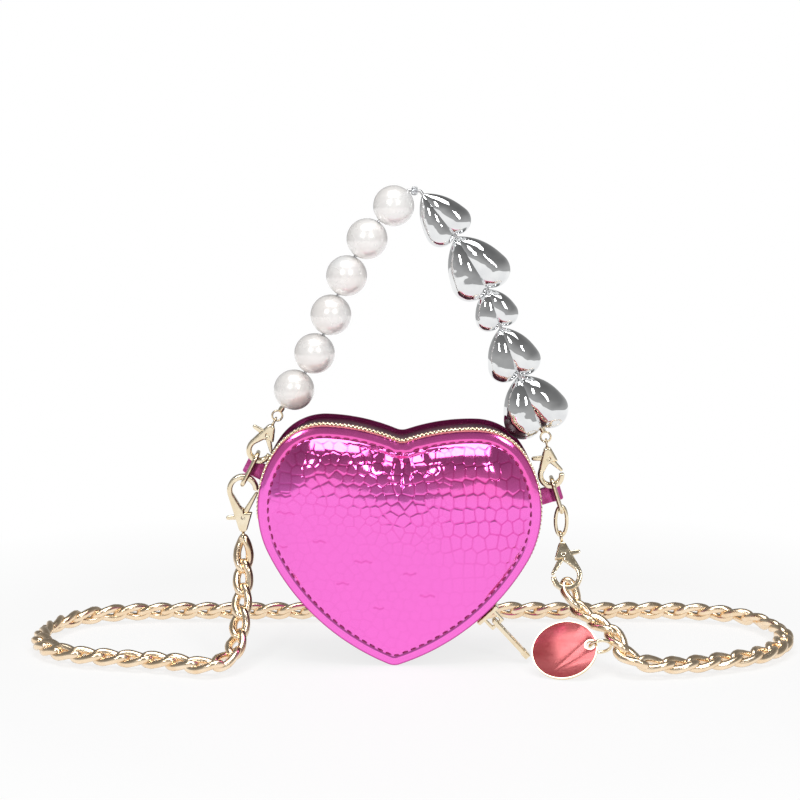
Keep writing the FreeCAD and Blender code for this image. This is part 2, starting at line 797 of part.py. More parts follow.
def shoulder_chain():
    half_width = link_width / 2 - link_wire / 2
    link = wire_loop(link_length / 2 - link_wire / 2, half_width, half_width, link_wire)
    return Part.makeCompound([framed(link, middle, along, normal) for middle, along, normal in chain_frames])


# Disc charm, leaning on the ground, with a ring from its hole to the chain
disc_flat = FreeCAD.Rotation(Vec(0, 0, 1), disc_turn_deg).multVec(Vec(0, 1, 0))
disc_lean = math.radians(disc_lean_deg)
disc_up = disc_flat * math.cos(disc_lean) + Vec(0, 0, 1) * math.sin(disc_lean)
disc_across = disc_flat.cross(Vec(0, 0, 1))
disc_normal = disc_across.cross(disc_up)
disc_middle = Vec(disc_x, disc_y, disc_z)
disc_out = FreeCAD.Rotation(disc_normal, -disc_hole_deg).multVec(disc_up)
disc_hole = disc_middle + disc_out * (disc_d / 2 - disc_hole_edge)


def disc_charm():
    half = disc_normal * (disc_wall / 2)
    return rod(disc_middle - half, disc_middle + half, disc_d).cut(
        rod(disc_hole - half * 2, disc_hole + half * 2, disc_hole_d))


# From the disc's hole to the nearest side wire of a link that lies much as the disc does, as the wire's
# place, the way to it and the way the ring passes through both
def charm_way():
    sides = []
    for middle, along, normal in chain_frames:
        across = normal.cross(along) * (link_width / 2 - link_wire / 2)
        near = min((middle + across, middle - across), key=disc_hole.distanceToPoint)
        flat = normal * math.copysign(1.0, normal.dot(disc_normal))
        sides.append((disc_hole.distanceToPoint(near) / flat.dot(disc_normal), near, flat))
    _, near, flat = min(sides, key=lambda side: side[0])
    reach = (near - disc_hole).normalize()
    ways = [way - reach * way.dot(reach) for way in (disc_normal, flat)]
    return near, reach, (ways[0].normalize() + ways[1].normalize()).normalize()


def charm_ring():
    near, reach, through = charm_way()
    far = near + reach * charm_grip
    radius = disc_hole.distanceToPoint(far) / 2
    print("charm ring radius", round(radius, 2))
    return Part.makeTorus(radius, charm_wire / 2, (disc_hole + far) / 2, reach.cross(through))


def all_nodes():
    nodes = {
        "front_panel": on_bag(front_panel()),
        "back_panel": on_bag(to_back(front_panel())),
        "front_foam": on_bag(front_foam()),
        "back_foam": on_bag(to_back(front_foam())),
        "gusset_strip": on_bag(gusset_strip()),
        "lining_front": on_bag(lining_front()),
        "lining_back": on_bag(to_back(lining_front())),
        "lining_band": on_bag(lining_band()),
        "zip_tape_front": on_bag(zip_tape(-half_depth, teeth_front_y)),
        "zip_tape_back": on_bag(zip_tape(teeth_back_y + tooth_width, window_y)),
        "zip_teeth_front": on_bag(zip_teeth(teeth_front_y, tooth_row_shares[0])),
        "zip_teeth_back": on_bag(zip_teeth(teeth_back_y, tooth_row_shares[1])),
        "zip_stops": on_bag(zip_stops()),
        "zip_slider": on_bag(zip_slider()),
        "zip_puller": on_bag(zip_puller()),
        "tab_left": side_tab(ring_left_top, ring_left_low),
        "tab_right": side_tab(ring_right_top, ring_right_low),
        "ring_left": side_ring(ring_left_top, ring_left_low),
        "ring_right": side_ring(ring_right_top, ring_right_low),
        "handle_cable": handle_cable(),
        "spacer_bead": spacer_bead(),
        "cable_crimps": cable_crimps(),
        "handle_ring_left": handle_ring(loop_left),
        "handle_ring_right": handle_ring(loop_right),
        "connector_ring": connector_ring(),
        "shoulder_chain": shoulder_chain(),
        "charm_ring": charm_ring(),
        "disc_charm": disc_charm(),
    }
    for index in range(len(pearl_degs)):
        nodes["pearl_bead_%d" % (index + 1)] = pearl_bead(index)
    for index in range(len(heart_widths)):
        nodes["heart_bead_%d" % (index + 1)] = heart_bead(index)
    for clasp in clasps:
        nodes.update(placed_clasp(*clasp))
    return nodes


# A point and an axis for each piece that turns
def joint_lines():
    spot = FreeCAD.Placement(Vec(bag_x, bag_y, bag_z), FreeCAD.Rotation(Vec(0, 1, 0), bag_lean_deg))
    lines = {
        "bag": (ring_left_top, (ring_right_top - ring_left_top).normalize()),
        "slider": (spot.multVec(at(flank_centre(), zip_y)), Vec(0, -1, 0)),
        "puller": (spot.multVec(puller_pivot()), Vec(0, -1, 0)),
        "disc": (disc_hole, charm_way()[2]),
    }
    for index, deg in enumerate(pearl_degs):
        lines["pearl_%d" % (index + 1)] = ((left_ends[index] + left_ends[index + 1]) / 2, heading(deg))
    for index, deg in enumerate(heart_degs):
        lines["heart_%d" % (index + 1)] = ((right_ends[index] + right_ends[index + 1]) / 2, heading(deg))
    for name, length, _, _, _, eye, along, gate_side in clasps:
        lines[name + "_lever"] = (eye + along * (length * pin_share), gate_side.cross(along))
    return lines


def report_point(name, point):
    print(name, [round(value, 3) for value in point])


os.makedirs("parts", exist_ok=True)
for node, shape in all_nodes().items():
    shape.exportStep("parts/%s.step" % node)
    print(node, len(shape.Solids), round(shape.Volume, 1), shape.isValid())
for place, turn in joint_lines().items():
    print("joint", place, *[round(value, 4) for value in tuple(turn[0]) + tuple(turn[1])])
report_point("left hook", ring_left_top)
report_point("right hook", ring_right_top)
report_point("chain starts at", chain_left_eye)
report_point("chain ends at", chain_end)
report_point("disc hole", disc_hole)
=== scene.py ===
import json
import math
import bpy
import numpy as np
from mathutils import Matrix, Vector
from mathutils.kdtree import KDTree

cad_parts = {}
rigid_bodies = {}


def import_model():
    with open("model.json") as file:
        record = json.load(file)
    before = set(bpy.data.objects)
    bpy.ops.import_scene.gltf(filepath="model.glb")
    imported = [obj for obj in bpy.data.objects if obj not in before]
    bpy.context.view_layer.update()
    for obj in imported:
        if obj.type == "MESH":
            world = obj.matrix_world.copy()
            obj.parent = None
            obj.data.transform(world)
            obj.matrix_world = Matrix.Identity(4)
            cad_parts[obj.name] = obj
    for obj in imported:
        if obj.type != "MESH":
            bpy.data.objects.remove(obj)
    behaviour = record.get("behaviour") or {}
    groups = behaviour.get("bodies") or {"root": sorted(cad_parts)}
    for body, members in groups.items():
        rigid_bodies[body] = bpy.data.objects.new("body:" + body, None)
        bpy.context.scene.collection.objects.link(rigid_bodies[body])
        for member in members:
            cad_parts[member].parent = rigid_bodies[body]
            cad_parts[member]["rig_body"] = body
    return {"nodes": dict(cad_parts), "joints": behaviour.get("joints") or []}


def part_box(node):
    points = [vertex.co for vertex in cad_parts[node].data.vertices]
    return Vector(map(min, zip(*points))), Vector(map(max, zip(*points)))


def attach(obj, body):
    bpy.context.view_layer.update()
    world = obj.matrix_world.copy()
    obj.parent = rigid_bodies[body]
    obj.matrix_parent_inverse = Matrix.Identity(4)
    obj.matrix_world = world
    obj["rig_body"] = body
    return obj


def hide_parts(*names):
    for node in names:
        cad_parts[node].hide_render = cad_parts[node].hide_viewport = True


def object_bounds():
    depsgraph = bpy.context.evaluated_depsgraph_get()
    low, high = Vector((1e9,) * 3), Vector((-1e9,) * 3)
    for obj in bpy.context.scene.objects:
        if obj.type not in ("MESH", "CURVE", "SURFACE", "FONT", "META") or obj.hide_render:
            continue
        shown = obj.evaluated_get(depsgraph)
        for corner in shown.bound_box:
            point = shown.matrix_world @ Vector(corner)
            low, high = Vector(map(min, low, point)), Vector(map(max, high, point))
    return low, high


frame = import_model()
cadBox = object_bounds()
nodes = frame["nodes"]
joints = {joint["name"]: joint for joint in frame["joints"]}
scene = bpy.context.scene
mm = 0.001
print("frame loaded:", len(nodes), "nodes")


# picking, copying and finishing

def pickNone():
    bpy.ops.object.select_all(action="DESELECT")


def pick(*pieces):
    pickNone()
    for piece in pieces:
        piece.select_set(True)
    bpy.context.view_layer.objects.active = pieces[0]
    return pieces[0]


def editAll(piece, mode="VERT"):
    pick(piece)
    bpy.ops.object.mode_set(mode="EDIT")
    bpy.ops.mesh.select_mode(type=mode)
    bpy.ops.mesh.select_all(action="SELECT")


def editDone():
    bpy.ops.object.mode_set(mode="OBJECT")


def modify(piece, kind, **values):
    pick(piece)
    tool = piece.modifiers.new(kind.lower(), kind)
    for name, value in values.items():
        setattr(tool, name, value)
    bpy.ops.object.modifier_apply(modifier=tool.name)


def joinAll(pieces, name):
    joined = pick(*pieces)
    if len(pieces) > 1:
        bpy.ops.object.join()
    joined.name = name
    return joined


def copyOf(name, *nodeNames):
    parts = []
    for nodeName in nodeNames:
        part = bpy.data.objects.new(name, nodes[nodeName].data.copy())
        scene.collection.objects.link(part)
        parts.append(part)
    piece = joinAll(parts, name)
    editAll(piece)
    bpy.ops.mesh.remove_doubles(threshold=0.002 * mm)  # the CAD mesh is loose triangles
    editDone()
    return piece


def finishPiece(piece, material, body, stoodFor=(), angle=None):
    pick(piece)
    bpy.ops.object.transform_apply(location=True, rotation=True, scale=True)
    if angle is None:
        bpy.ops.object.shade_smooth()
    else:
        bpy.ops.object.shade_smooth_by_angle(angle=math.radians(angle))
    piece.data.materials.clear()
    piece.data.materials.append(material)
    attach(piece, body)
    if stoodFor:
        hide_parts(*stoodFor)
    return piece


def bodyOf(nodeName):
    return nodes[nodeName]["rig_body"]


def dressNode(nodeName, material):
    nodes[nodeName].data.materials.clear()
    nodes[nodeName].data.materials.append(material)


def pointsOf(piece):
    flat = np.zeros(len(piece.data.vertices) * 3)
    piece.data.vertices.foreach_get("co", flat)
    return flat.reshape(-1, 3)


def movePoints(piece, points):
    piece.data.vertices.foreach_set("co", points.ravel())
    piece.data.update()


def place(xAxis, zHint, origin):
    along = Vector(xAxis).normalized()
    side = Vector(zHint).cross(along).normalized()
    up = along.cross(side)
    turn = Matrix((along, side, up)).transposed().to_4x4()
    return Matrix.Translation(origin) @ turn


# shader bits shared by the finishes

def newFinish(name, colour, metallic, roughness):
    finish = bpy.data.materials.new(name)
    finish.use_nodes = True
    shader = finish.node_tree.nodes["Principled BSDF"]
    shader.inputs["Base Color"].default_value = (*colour, 1)
    shader.inputs["Metallic"].default_value = metallic
    shader.inputs["Roughness"].default_value = roughness
    return finish, shader


def addNode(finish, kind, values=None, **settings):
    node = finish.node_tree.nodes.new(kind)
    for name, value in settings.items():
        setattr(node, name, value)
    for name, value in (values or {}).items():
        node.inputs[name].default_value = value
    return node


def wire(finish, fromSocket, toSocket):
    finish.node_tree.links.new(fromSocket, toSocket)


def objectNoise(finish, scale, detail=3.0, stretch=(1, 1, 1)):
    coords = addNode(finish, "ShaderNodeTexCoord")
    mapping = addNode(finish, "ShaderNodeMapping", {"Scale": stretch})
    noise = addNode(finish, "ShaderNodeTexNoise", {"Scale": scale, "Detail": detail})
    wire(finish, coords.outputs["Object"], mapping.inputs["Vector"])
    wire(finish, mapping.outputs["Vector"], noise.inputs["Vector"])
    return noise.outputs["Fac"]


def varyColour(finish, shader, height, stops):
    ramp = addNode(finish, "ShaderNodeValToRGB")
    for index, (at, colour) in enumerate(stops):
        if index > 1:
            ramp.color_ramp.elements.new(at)
        ramp.color_ramp.elements[index].position = at
        ramp.color_ramp.elements[index].color = (*colour, 1)
    wire(finish, height, ramp.inputs["Fac"])
    wire(finish, ramp.outputs["Color"], shader.inputs["Base Color"])


def varyRoughness(finish, shader, height, smooth, rough):
    spread = addNode(finish, "ShaderNodeMapRange", {"From Min": 0.3, "From Max": 0.7,
                                                    "To Min": smooth, "To Max": rough})
    wire(finish, height, spread.inputs["Value"])
    wire(finish, spread.outputs["Result"], shader.inputs["Roughness"])


def addBump(finish, shader, height, depth, strength=1.0):
    bump = addNode(finish, "ShaderNodeBump", {"Strength": strength, "Distance": depth})
    wire(finish, height, bump.inputs["Height"])
    earlier = shader.inputs["Normal"].links
    if earlier:
        wire(finish, earlier[0].from_socket, bump.inputs["Normal"])
    wire(finish, bump.outputs["Normal"], shader.inputs["Normal"])


# finishes

def pinkFoilFinish():
    finish, shader = newFinish("pinkFoilLeather", (0.95, 0.14, 0.62), 0.92, 0.18)
    line = addNode(finish, "ShaderNodeAttribute", attribute_name="pressedLine")
    varyColour(finish, shader, line.outputs["Fac"], [(0.0, (0.98, 0.19, 0.71)), (1.0, (0.80, 0.08, 0.46))])
    # painted shade: a darker, redder tint over the top of the panel stands in for the dark room that the foil
    # reflects there
    paintedShadeMask = addNode(finish, "ShaderNodeAttribute", attribute_name="topShare")
    paintedShadeTint = addNode(finish, "ShaderNodeMix", data_type="RGBA", blend_type="MULTIPLY")
    paintedShadeTint.inputs[7].default_value = (1.0, 0.8, 0.78, 1)
    wire(finish, paintedShadeMask.outputs["Fac"], paintedShadeTint.inputs[0])
    wire(finish, shader.inputs["Base Color"].links[0].from_socket, paintedShadeTint.inputs[6])
    edge = addNode(finish, "ShaderNodeAttribute", attribute_name="rimShade")
    dark = addNode(finish, "ShaderNodeMix", data_type="RGBA")
    dark.inputs[7].default_value = (0.30, 0.012, 0.12, 1)
    wire(finish, edge.outputs["Fac"], dark.inputs[0])
    wire(finish, paintedShadeTint.outputs[2], dark.inputs[6])
    wire(finish, dark.outputs[2], shader.inputs["Base Color"])
    varyRoughness(finish, shader, objectNoise(finish, 160, 2), 0.08, 0.15)
    addBump(finish, shader, objectNoise(finish, 1100, 4), 0.02 * mm, 0.4)  # fine grain of the hide
    addBump(finish, shader, objectNoise(finish, 110, 2, (1, 1, 0.45)), 0.14 * mm, 0.5)  # soft upright draws
    return finish


def wineLeatherFinish():
    finish, shader = newFinish("wineLeather", (0.06, 0.005, 0.02), 0.0, 0.36)
    varyColour(finish, shader, objectNoise(finish, 120),
               [(0.3, (0.035, 0.003, 0.011)), (0.7, (0.085, 0.007, 0.028))])
    varyRoughness(finish, shader, objectNoise(finish, 300), 0.26, 0.42)
    addBump(finish, shader, objectNoise(finish, 1100, 5), 0.08 * mm, 0.7)
    return finish


def tabLeatherFinish():
    finish, shader = newFinish("tabLeather", (0.80, 0.10, 0.42), 0.5, 0.3)
    varyColour(finish, shader, objectNoise(finish, 260),
               [(0.3, (0.55, 0.04, 0.24)), (0.7, (0.90, 0.15, 0.55))])
    varyRoughness(finish, shader, objectNoise(finish, 400), 0.24, 0.4)
    addBump(finish, shader, objectNoise(finish, 1300, 4), 0.08 * mm, 0.7)
    return finish


def threadFinish():
    finish, shader = newFinish("magentaThread", (0.22, 0.004, 0.09), 0.0, 0.6)
    varyColour(finish, shader, objectNoise(finish, 1500),
               [(0.3, (0.20, 0.003, 0.08)), (0.7, (0.40, 0.012, 0.18))])
    addBump(finish, shader, objectNoise(finish, 4000, 2, (1, 1, 0.4)), 0.1 * mm)
    shader.inputs["Sheen Weight"].default_value = 0.3
    return finish


def tapeFinish():
    finish, shader = newFinish("coralTape", (0.80, 0.13, 0.16), 0.0, 0.75)
    coords = addNode(finish, "ShaderNodeTexCoord")
    ribs = addNode(finish, "ShaderNodeTexWave", {"Scale": 900, "Distortion": 0.4}, bands_direction="Y")
    wire(finish, coords.outputs["Object"], ribs.inputs["Vector"])
    varyColour(finish, shader, objectNoise(finish, 700),
               [(0.3, (0.70, 0.09, 0.13)), (0.7, (0.88, 0.20, 0.22))])
    addBump(finish, shader, ribs.outputs["Fac"], 0.15 * mm, 0.6)
    addBump(finish, shader, objectNoise(finish, 2500, 2), 0.1 * mm, 0.6)
    shader.inputs["Sheen Weight"].default_value = 0.4
    return finish


def pearlFinish():
    finish, shader = newFinish("ivoryPearl", (0.95, 0.93, 0.90), 0.2, 0.2)
    varyColour(finish, shader, objectNoise(finish, 60, 2),
               [(0.3, (0.98, 0.94, 0.91)), (0.55, (0.99, 0.97, 0.95)), (0.75, (0.97, 0.97, 0.97))])
    varyRoughness(finish, shader, objectNoise(finish, 120), 0.25, 0.29)
    addBump(finish, shader, objectNoise(finish, 150, 1), 0.02 * mm, 0.2)
    shader.inputs["Specular IOR Level"].default_value = 0.75
    shader.inputs["Coat Weight"].default_value = 1.0
    shader.inputs["Coat Roughness"].default_value = 0.12
    shader.inputs["Coat IOR"].default_value = 1.65
    return finish


def enamelFinish():
    finish, shader = newFinish("roseEnamel", (0.45, 0.075, 0.08), 0.35, 0.2)
    varyColour(finish, shader, objectNoise(finish, 90, 3, (0.4, 1, 2.5)),  # level streaks
               [(0.3, (0.38, 0.045, 0.052)), (0.7, (0.52, 0.12, 0.125))])
    varyRoughness(finish, shader, objectNoise(finish, 700), 0.16, 0.24)
    addBump(finish, shader, objectNoise(finish, 1500, 4), 0.02 * mm, 0.2)
    return finish


def metalFinish(name, dull, bright, smooth, rough, scratch, waves=0.0):
    finish, shader = newFinish(name, bright, 1.0, smooth)
    varyColour(finish, shader, objectNoise(finish, 220, 2), [(0.3, dull), (0.7, bright)])
    varyRoughness(finish, shader, objectNoise(finish, 700, 4), smooth, rough)
    addBump(finish, shader, objectNoise(finish, 1500, 4), 0.02 * mm, scratch)
    if waves:
        addBump(finish, shader, objectNoise(finish, 170, 1), waves * mm, 0.6)  # uneven plating
    return finish


def clearBeadFinish():
    finish, shader = newFinish("clearBead", (0.93, 0.95, 0.97), 0.0, 0.03)
    shader.inputs["Transmission Weight"].default_value = 0.85
    shader.inputs["IOR"].default_value = 1.5
    varyRoughness(finish, shader, objectNoise(finish, 900, 3), 0.02, 0.08)
    addBump(finish, shader, objectNoise(finish, 1200, 2), 0.02 * mm, 0.3)
    return finish


pinkFoil = pinkFoilFinish()
wineLeather = wineLeatherFinish()
tabLeather = tabLeatherFinish()
magentaThread = threadFinish()
coralTape = tapeFinish()
ivoryPearl = pearlFinish()
mirrorChrome = metalFinish("mirrorChrome", (0.78, 0.79, 0.80), (0.87, 0.88, 0.88), 0.02, 0.05, 0.15, 0.8)
paleGold = metalFinish("paleGold", (0.86, 0.72, 0.50), (0.95, 0.84, 0.64), 0.12, 0.22, 0.4)
rosyGold = metalFinish("rosyGold", (0.93, 0.70, 0.46), (1.0, 0.83, 0.62), 0.18, 0.28, 0.4)
roseEnamel = enamelFinish()
steelWire = metalFinish("steelWire", (0.50, 0.50, 0.50), (0.66, 0.66, 0.67), 0.2, 0.35, 0.6)
clearBead = clearBeadFinish()
print("finishes ready")


# camera at the photograph's place

view = {"eye": (-5.6, -920.0, 55.4), "aim": (-5.6, 0.0, -82.3), "lens": 106.2, "sensor": 36.0}

bpy.ops.object.camera_add(location=Vector(view["eye"]) * mm)
camera = bpy.context.object
camera.rotation_euler = (Vector(view["aim"]) - Vector(view["eye"])).to_track_quat("-Z", "Y").to_euler()
camera.data.lens = view["lens"]
camera.data.sensor_width = view["sensor"]
scene.camera = camera
print("camera set")


# shoulder chain: twisted oval links along one smooth line

chain = {
    "route": [  # millimetres, from the left clasp's eye round the floor to the right clasp's hook
        (-67.841, -0.306, -139.062), (-67.6, -4, -154), (-68.6, -20.5, -173.5), (-71.5, -33.5, -178.6),
        (-81, -38.5, -180.1), (-97, -29, -180.1), (-120, -25, -180.1), (-141, -17, -180.1),
        (-151.5, 3, -180.1), (-149, 28, -180.1), (-133, 48, -180.1), (-100, 53, -180.1),
        (-55, 52, -180.1), (5, 55, -180.1), (65, 52, -180.1), (110, 53.5, -180.1), (136, 46, -180.1),
        (149, 26, -180.1), (150, 2, -180.1), (138, -20, -180.1), (117, -31, -180.1),
        (100, -37.5, -180.1), (82, -39, -178), (77.4, -27.4, -169), (63.4, -13.5, -164.5),
        (60.833, -8.274, -154.635)],
    "length": 0.643, "width": 8.4, "linkLength": 16.4, "wire": 3.3, "pitch": 9.894, "linkTwist": -115,
    "rolls": [(0.0, 10), (0.2, 10), (0.3, -25), (0.7, -25), (0.8, 10), (1.0, 10)],  # share of length, degrees
}


def chainLine():
    curve = bpy.data.curves.new("chainLine", "CURVE")
    curve.dimensions = "3D"
    spline = curve.splines.new("NURBS")
    spline.points.add(len(chain["route"]) - 1)
    for point, place3 in zip(spline.points, chain["route"]):
        point.co = (*(Vector(place3) * mm), 1)
    spline.order_u = 3
    spline.use_endpoint_u = True
    spline.resolution_u = 24
    line = bpy.data.objects.new("chainLine", curve)
    scene.collection.objects.link(line)
    bpy.context.view_layer.update()
    mesh = bpy.data.meshes.new_from_object(line)  # the points that the links follow
    points = np.array([vert.co for vert in mesh.vertices])
    bpy.data.objects.remove(line)
    bpy.data.meshes.remove(mesh)
    return points


def ovalLink(length, width, wireWidth):
    pickNone()
    bpy.ops.curve.primitive_nurbs_circle_add(radius=1)
    link = bpy.context.object
    bpy.ops.object.mode_set(mode="EDIT")
    bpy.ops.curve.select_all(action="SELECT")
    bpy.ops.transform.resize(value=((length - wireWidth) / 2 * mm, (width - wireWidth) / 2 * mm, 1))
    bpy.ops.object.mode_set(mode="OBJECT")
    link.data.bevel_depth = wireWidth / 2 * mm
    link.data.bevel_resolution = 3
    link.data.resolution_u = 4
    pick(link)
    bpy.ops.object.convert(target="MESH")
    return bpy.context.object


def makeChain():
    points = chainLine()
    steps = np.linalg.norm(np.diff(points, axis=0), axis=1)
    walked = np.concatenate([[0], np.cumsum(steps)])
    count = round(walked[-1] / (chain["pitch"] * mm))
    model = ovalLink(chain["linkLength"], chain["width"], chain["wire"])
    twist = math.radians(chain["linkTwist"])
    modify(model, "SIMPLE_DEFORM", deform_method="TWIST", deform_axis="X", angle=twist)
    rollAt, rollBy = np.array(chain["rolls"]).T
    links = []
    along = Vector((0, 0, -1))
    up = Vector((0, -1, 0))
    for index in range(count):
        at = (index + 0.5) * walked[-1] / count
        spot = Vector([np.interp(at, walked, points[:, k]) for k in range(3)])
        ahead = Vector([np.interp(at + mm, walked, points[:, k]) for k in range(3)])
        behind = Vector([np.interp(at - mm, walked, points[:, k]) for k in range(3)])
        nextAlong = (ahead - behind).normalized()
        up = along.rotation_difference(nextAlong) @ up  # carried along without rolling
        along = nextAlong
        link = bpy.data.objects.new("link", model.data.copy())
        scene.collection.objects.link(link)
        roll = Matrix.Rotation(math.radians(np.interp(at / walked[-1], rollAt, rollBy)), 4, "X")
        link.data.transform(place(along, up, spot) @ roll)
        links.append(link)
    bpy.data.objects.remove(model)
    piece = joinAll(links, "shoulderChain")
    finishPiece(piece, rosyGold, "bag", ["shoulder_chain"])
    print("chain:", count, "links,", round(walked[-1], 4), "m")


makeChain()


# puffed heart panels, front and back

panel = {  # millimetres
    "cells": 150, "outlineStep": 0.5, "rim": 1.5, "lip": 0.9, "border": 4.6,
    "rise": 6.6, "run": 13.0, "lowRun": 26.0, "lowFrom": 25, "lowBy": 70, "power": 2.2,
    "taper": 0.05, "taperFrom": 22, "soften": 20, "roll": 0.9, "rollWidth": 4.0,
    "pressure": 4.0, "frames": 20, "cap": 1.0,
    "seam": 3.9, "seamDepth": 0.35, "seamWidth": 0.7,
    "draw": 1.8, "drawSize": 15.0, "drawDrop": 10,  # the notch pulls the leather in below it
    "creaseDrop": 7.0,
    "creases": [  # place across, width, length, depth
        (-9.0, 2.0, 14, 0.5), (-4.0, 2.2, 20, -0.7), (1.5, 1.8, 24, 0.8),
        (6.5, 2.2, 20, -0.6), (12.0, 2.0, 12, 0.4)],
}
scales = {  # millimetres
    "lineDepth": 0.13, "swell": 0.07, "seed": 7,
    "lineFrom": 0.02, "lineBy": 0.15,  # shares of a scale
    "hexes": {"size": (4.5, 4.5), "jitter": 0.62, "rowGap": 0.866, "shift": 0.5},
    "squares": {"size": (4.4, 5.6), "jitter": 0.34, "rowGap": 1.0, "shift": 0.35},
    "squareFrom": 10, "squareBy": 28, "plainFrom": 24, "plainBy": 52, "plainShare": 0.85,
    "markWidth": 0.35, "markShare": 0.7,
    "marks": [  # place across, drop, length
        (-45, 26, 6), (-44, 33, 7), (-31, 44, 5), (-46, 47, 5), (-14, 52, 7),
        (4, 57, 5), (-22, 61, 5), (11, 66, 6), (-8, 71, 4)],
}


def heartOutline(nodeName, level):
    piece = copyOf("outline", nodeName)
    editAll(piece)
    bpy.ops.mesh.bisect(plane_co=(0, level, 0), plane_no=(0, 1, 0), clear_inner=True, clear_outer=True)
    editDone()
    pick(piece)
    bpy.ops.object.convert(target="CURVE")
    loops = [np.array([point.co[:3] for point in spline.points]) for spline in piece.data.splines]
    bpy.data.objects.remove(piece)
    return max(loops, key=lambda loop: np.linalg.norm(np.ptp(loop, axis=0)))


def walkLoop(loop, pitch):
    closed = np.vstack([loop, loop[:1]])
    walked = np.concatenate([[0], np.cumsum(np.linalg.norm(np.diff(closed, axis=0), axis=1))])
    count = round(walked[-1] / pitch)
    stops = np.arange(count) * walked[-1] / count
    return np.stack([np.interp(stops, walked, closed[:, k]) for k in range(3)], axis=1)


def stepUp(values, low, high):
    share = np.clip((values - low) / (high - low), 0, 1)
    return share * share * (3 - 2 * share)


def chance(column, row, first, second):
    value = np.sin(column * first + row * second + scales["seed"]) * 43758.5453
    return value - np.floor(value)


def scaleLines(across, down, size, jitter, rowGap, shift):
    # nearness of each point to the line between its two nearest scales, and to its own scale's middle
    x, y = across / size[0], down / size[1]
    best, second = np.full((2, len(x)), 9.0)
    for rowStep in (-1, 0, 1):
        for columnStep in (-1, 0, 1):
            row = np.round(y / rowGap) + rowStep
            column = np.round(x - shift * (row % 2)) + columnStep
            middleX = column + shift * (row % 2) + jitter * (chance(column, row, 127.1, 311.7) - 0.5)
            middleY = (row + jitter * (chance(column, row, 269.5, 183.3) - 0.5)) * rowGap
            far = np.hypot(x - middleX, y - middleY)
            second = np.minimum(second, np.maximum(best, far))
            best = np.minimum(best, far)
    line = 1 - stepUp(second - best, scales["lineFrom"], scales["lineBy"])
    return line, np.clip(1 - 3 * best * best, 0, 1)


def edgeDistance(points, outline):
    tree = KDTree(len(outline))
    for index, spot in enumerate(outline):
        tree.insert((spot[0], 0, spot[2]), index)
    tree.balance()
    return np.array([tree.find((spot[0], 0, spot[2]))[2] for spot in points]) / mm


def makePanel(name, facing, *stoodFor):
    # facing is -1 at the front and 1 at the back
    low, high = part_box(stoodFor[0])
    backY = high.y if facing < 0 else low.y
    faceY = backY + facing * panel["rim"] * mm
    edge = heartOutline(stoodFor[0], backY + facing * panel["rim"] / 2 * mm)
    outline = walkLoop(edge, panel["outlineStep"] * mm)
    middle = np.array(((low.x + high.x) / 2, low.z + 0.55 * (high.z - low.z)))
    pickNone()
    bpy.ops.mesh.primitive_grid_add(x_subdivisions=panel["cells"], y_subdivisions=panel["cells"], size=2)
    piece = bpy.context.object
    piece.name = name
    u, v = pointsOf(piece).T[:2]
    disc = np.stack([u * np.sqrt(1 - v * v / 2), v * np.sqrt(1 - u * u / 2)], axis=1)  # square to round
    spokes = outline[:, [0, 2]] - middle
    reach = np.interp(np.arctan2(disc[:, 1], disc[:, 0]), *spokeReach(spokes), period=2 * math.pi)
    flat = middle + disc * reach[:, None]
    points = np.stack([flat[:, 0], np.full(len(flat), faceY), flat[:, 1]], axis=1)
    inward = edgeDistance(points, outline)
    down = (high.z - points[:, 2]) / mm
    run = panel["run"] + (panel["lowRun"] - panel["run"]) * stepUp(down, panel["lowFrom"], panel["lowBy"])
    share = np.clip((inward - panel["border"]) / run, 0, 1)
    rise = panel["rise"] - panel["taper"] * np.maximum(down - panel["taperFrom"], 0)  # thinner at the tip
    rolled = np.clip(1 - inward / panel["rollWidth"], 0, 1) ** 2  # the edge rolls back a little
    points[:, 1] += facing * mm * (rise * (1 - (1 - share) ** panel["power"]) - panel["roll"] * rolled)
    movePoints(piece, points)
    sewn = piece.vertex_groups.new(name="sewn")
    sewn.add(np.flatnonzero(inward < panel["border"] + 0.4).tolist(), 1.0, "REPLACE")
    modify(piece, "SMOOTH", factor=0.5, iterations=panel["soften"], use_x=False, use_z=False,
           vertex_group="sewn", invert_vertex_group=True)
    if facing > 0:
        editAll(piece, "FACE")
        bpy.ops.mesh.flip_normals()
        editDone()
    puffPanel(piece)
    modify(piece, "SUBSURF", levels=1, render_levels=1)
    embossPanel(piece, facing, outline, low, high)
    closeRim(piece, facing)
    finishPiece(piece, pinkFoil, "bag", stoodFor, angle=50)
    piece.vertex_groups.clear()
    print("panel", name, len(piece.data.polygons), "faces")


def spokeReach(spokes):
    angles = np.arctan2(spokes[:, 1], spokes[:, 0])
    order = np.argsort(angles)
    return angles[order], np.linalg.norm(spokes, axis=1)[order]


def puffPanel(piece):
    before = pointsOf(piece)
    pick(piece)
    tool = piece.modifiers.new("puff", "CLOTH")
    tool.settings.use_pressure = True
    tool.settings.uniform_pressure_force = panel["pressure"]
    tool.settings.effector_weights.gravity = 0
    tool.settings.vertex_group_mass = "sewn"
    for step in range(1, panel["frames"] + 1):
        scene.frame_set(step)
    bpy.ops.object.modifier_apply(modifier="puff")
    scene.frame_set(1)
    moves = pointsOf(piece) - before
    sizes = np.linalg.norm(moves, axis=1, keepdims=True)
    print("puffed by up to", round(float(sizes.max()) / mm, 2), "mm")
    movePoints(piece, before + moves * np.minimum(1, panel["cap"] * mm / np.maximum(sizes, 1e-9)))


def paintPoints(piece, name, values):
    shade = piece.data.attributes.new(name, "FLOAT", "POINT")
    shade.data.foreach_set("value", np.clip(values, 0, 1).astype(np.float32))


